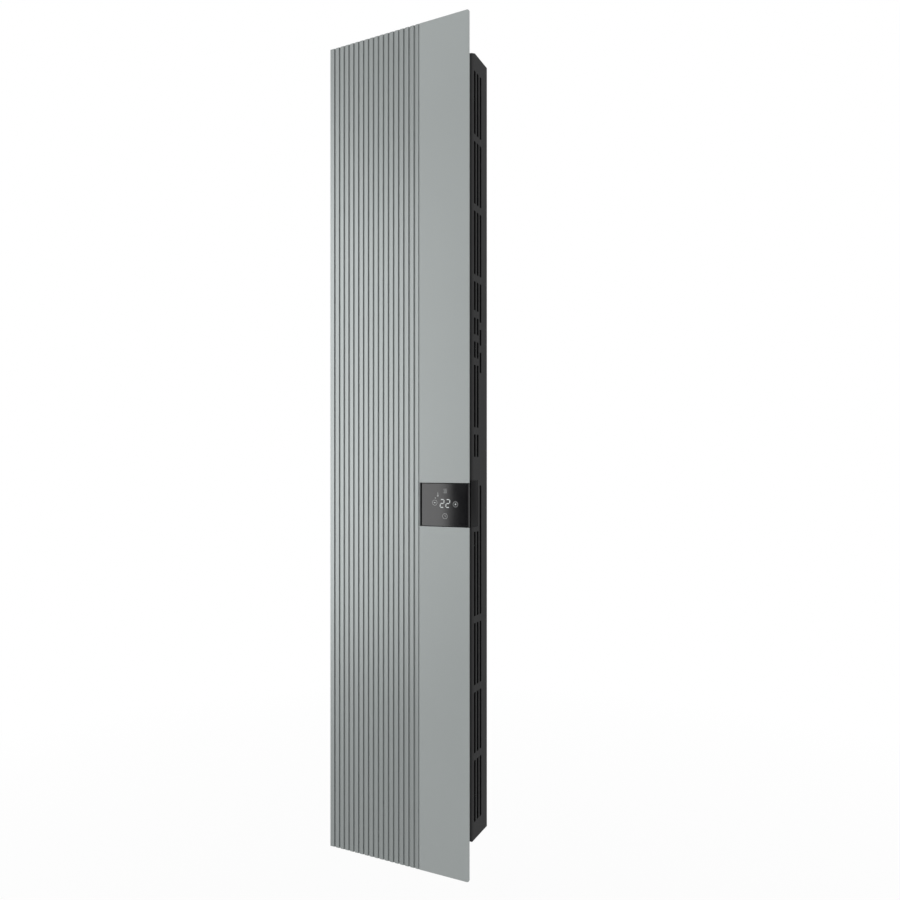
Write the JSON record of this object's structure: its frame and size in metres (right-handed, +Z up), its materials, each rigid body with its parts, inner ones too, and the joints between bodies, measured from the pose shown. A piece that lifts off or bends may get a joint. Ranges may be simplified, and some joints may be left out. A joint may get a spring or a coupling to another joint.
{
  "type": "electric radiator",
  "caption": "Tall wall-hung electric radiator: ribbed metal panel on a slotted black convector chassis, touch control at its edge, hung on two wall brackets.",
  "frame": {"origin": "on the wall plane, at the centre of the rectangle of the four wall screws", "axes": "+X to the right for someone facing the radiator, +Y into the wall, +Z up; the panel faces -Y"},
  "size_m": [0.345, 0.113, 1.8],
  "materials": {
    "panel_aluminium": "satin metallic grey coating",
    "black_sheet": "fine matt powder coat",
    "black_plastic": "moulded, matt",
    "dark_glass": "polished, printed black behind",
    "heating_film": "laminated film",
    "insulation": "pressed mineral board",
    "zinc_steel": "galvanised sheet",
    "bright_aluminium": "mill finish sheet",
    "black_aluminium": "extrusion with a black heat-resistant coat",
    "rod_steel": "heat-tinted stainless",
    "ceramic": "glazed steatite",
    "silicone_red": "silicone",
    "rubber_black": "matt rubber",
    "black_screw": "blackened screws",
    "circuit_green": "laminate with solder mask",
    "component_plastic": "component cases",
    "ivory_plastic": "moulded nylon",
    "wire": "silicone insulated wire",
    "ribbon_grey": "flat cable",
    "signal_red": "moulded",
    "brass": "turned"
  },
  "bodies": {
    "wall_brackets": {"upper_wall_bracket": "zinc_steel", "lower_wall_bracket": "zinc_steel", "lock_pivot": "zinc_steel"},
    "heater": {"front_panel": "panel_aluminium", "front_tray": "black_sheet", "side_grille_right": "black_sheet", "side_grille_left": "black_sheet", "top_cap": "black_sheet", "bottom_cap": "black_sheet", "chassis_back": "black_sheet", "control_housing": "black_plastic", "switch_housing": "black_plastic", "cable_gland": "black_plastic", "gland_nut": "black_plastic", "electronics_box": "black_plastic", "electronics_lid": "black_plastic", "room_sensor": "black_plastic", "thermal_cutouts": "black_plastic", "digit_module": "black_plastic", "touch_glass": "dark_glass", "radiant_film": "heating_film", "insulation_boards": "insulation", "panel_rails": "zinc_steel", "rail_screws": "zinc_steel", "hook_reinforcers": "zinc_steel", "lock_keeper": "zinc_steel", "element_shelves": "zinc_steel", "reflector_upper": "bright_aluminium", "reflector_lower": "bright_aluminium", "convector_upper_right": "black_aluminium", "convector_upper_left": "black_aluminium", "convector_lower_right": "black_aluminium", "convector_lower_left": "black_aluminium", "heating_rods": "rod_steel", "rod_insulators": "ceramic", "terminal_boots": "silicone_red", "wall_buffers": "rubber_black", "film_grommets": "rubber_black", "back_screws": "black_screw", "power_board": "circuit_green", "display_board": "circuit_green", "relays": "component_plastic", "transformer": "component_plastic", "capacitors": "component_plastic", "board_connector": "ivory_plastic", "terminal_block": "ivory_plastic", "lead_clips": "ivory_plastic", "sensor_clip": "ivory_plastic", "element_leads": "wire", "supply_leads": "wire", "film_leads": "wire", "display_ribbon": "ribbon_grey", "earth_stud": "brass"},
    "lock_lever": {"lock_lever": "zinc_steel", "lever_grip": "signal_red"},
    "switch_rocker": {"switch_rocker": "signal_red"}
  },
  "joints": [
    {"name": "heater_lift", "type": "slide", "parent": "wall_brackets", "child": "heater", "axis": [0, 0, 1], "range_m": [0, 0.01]},
    {"name": "lock_turn", "type": "hinge", "parent": "wall_brackets", "child": "lock_lever", "pos_m": [0, -0.0066, -0.742], "axis": [0, 1, 0], "range_deg": [0, 90]},
    {"name": "switch_rock", "type": "hinge", "parent": "heater", "child": "switch_rocker", "pos_m": [0.112, -0.0498, -0.8275], "axis": [0, 1, 0], "range_deg": [0, 20]}
  ]
}
